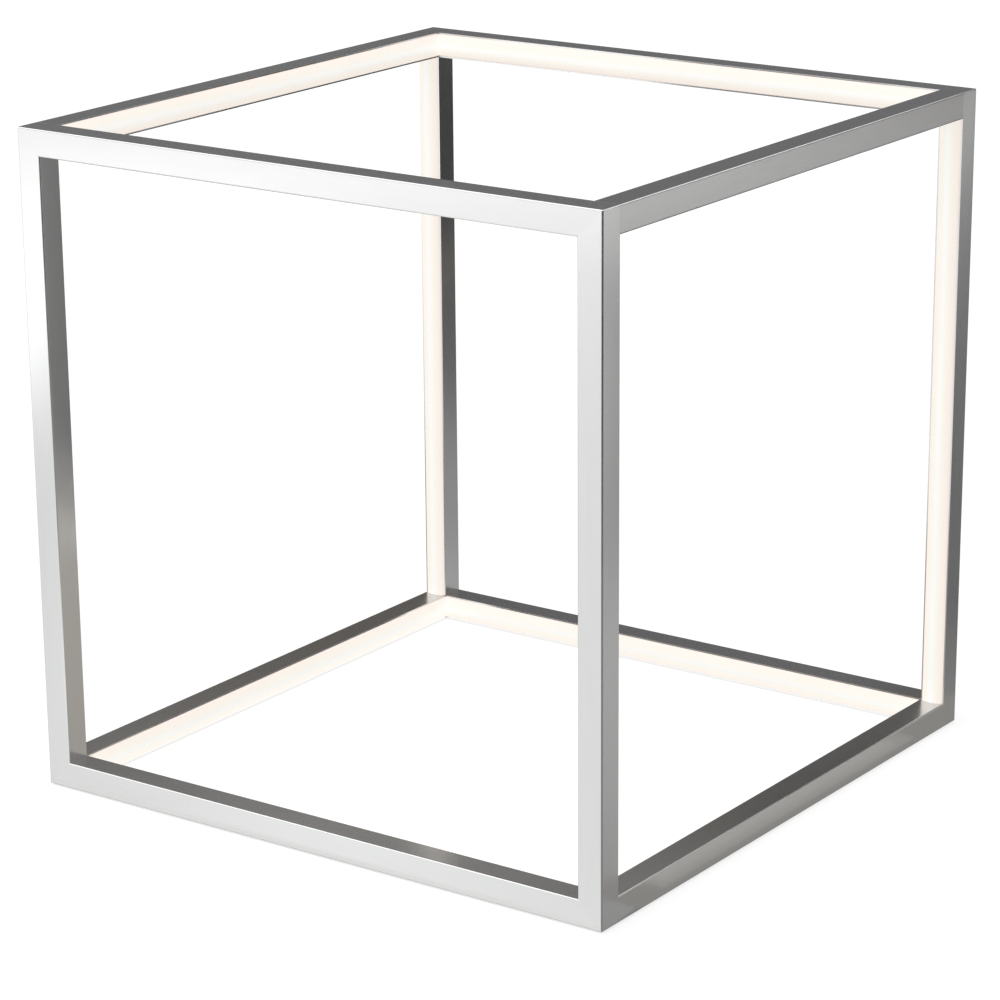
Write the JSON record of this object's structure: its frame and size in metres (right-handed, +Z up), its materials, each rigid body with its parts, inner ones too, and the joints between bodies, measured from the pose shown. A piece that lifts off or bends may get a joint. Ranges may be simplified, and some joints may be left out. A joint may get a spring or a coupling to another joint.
{
  "type": "lit cube side table",
  "caption": "Open cube side table of square brushed-metal light channels, closed outside, with domed warm opal diffusers facing inwards. A bare frame with no top.",
  "frame": {"origin": "centre of the footprint, at floor level under the foot pads", "axes": "+Z up, +Y to the back, +X to the right, seen from the front square"},
  "size_m": [0.5, 0.5, 0.5012],
  "materials": {
    "channel": "brushed, nickel-coloured",
    "opal": "opal, lit warm white from inside",
    "tape": "white circuit tape",
    "block": "die cast",
    "screw": "black oxide",
    "bush": "moulded",
    "pad": "matte"
  },
  "bodies": {
    "root": {"cord_bush": "bush", "corner_block_back_left_bottom": "block", "corner_block_back_left_top": "block", "corner_block_back_right_bottom": "block", "corner_block_back_right_top": "block", "corner_block_front_left_bottom": "block", "corner_block_front_left_top": "block", "corner_block_front_right_bottom": "block", "corner_block_front_right_top": "block", "diffuser_post_back_left": "opal", "diffuser_post_back_right": "opal", "diffuser_post_front_left": "opal", "diffuser_post_front_right": "opal", "diffuser_rail_back_bottom": "opal", "diffuser_rail_back_top": "opal", "diffuser_rail_front_bottom": "opal", "diffuser_rail_front_top": "opal", "diffuser_rail_left_bottom": "opal", "diffuser_rail_left_top": "opal", "diffuser_rail_right_bottom": "opal", "diffuser_rail_right_top": "opal", "foot_pad_back_left": "pad", "foot_pad_back_right": "pad", "foot_pad_front_left": "pad", "foot_pad_front_right": "pad", "grub_screws": "screw", "led_tape_post_back_left": "tape", "led_tape_post_back_right": "tape", "led_tape_post_front_left": "tape", "led_tape_post_front_right": "tape", "led_tape_rail_back_bottom": "tape", "led_tape_rail_back_top": "tape", "led_tape_rail_front_bottom": "tape", "led_tape_rail_front_top": "tape", "led_tape_rail_left_bottom": "tape", "led_tape_rail_left_top": "tape", "led_tape_rail_right_bottom": "tape", "led_tape_rail_right_top": "tape", "post_back_left": "channel", "post_back_right": "channel", "post_front_left": "channel", "post_front_right": "channel", "rail_back_bottom": "channel", "rail_back_top": "channel", "rail_front_bottom": "channel", "rail_front_top": "channel", "rail_left_bottom": "channel", "rail_left_top": "channel", "rail_right_bottom": "channel", "rail_right_top": "channel"}
  },
  "joints": []
}
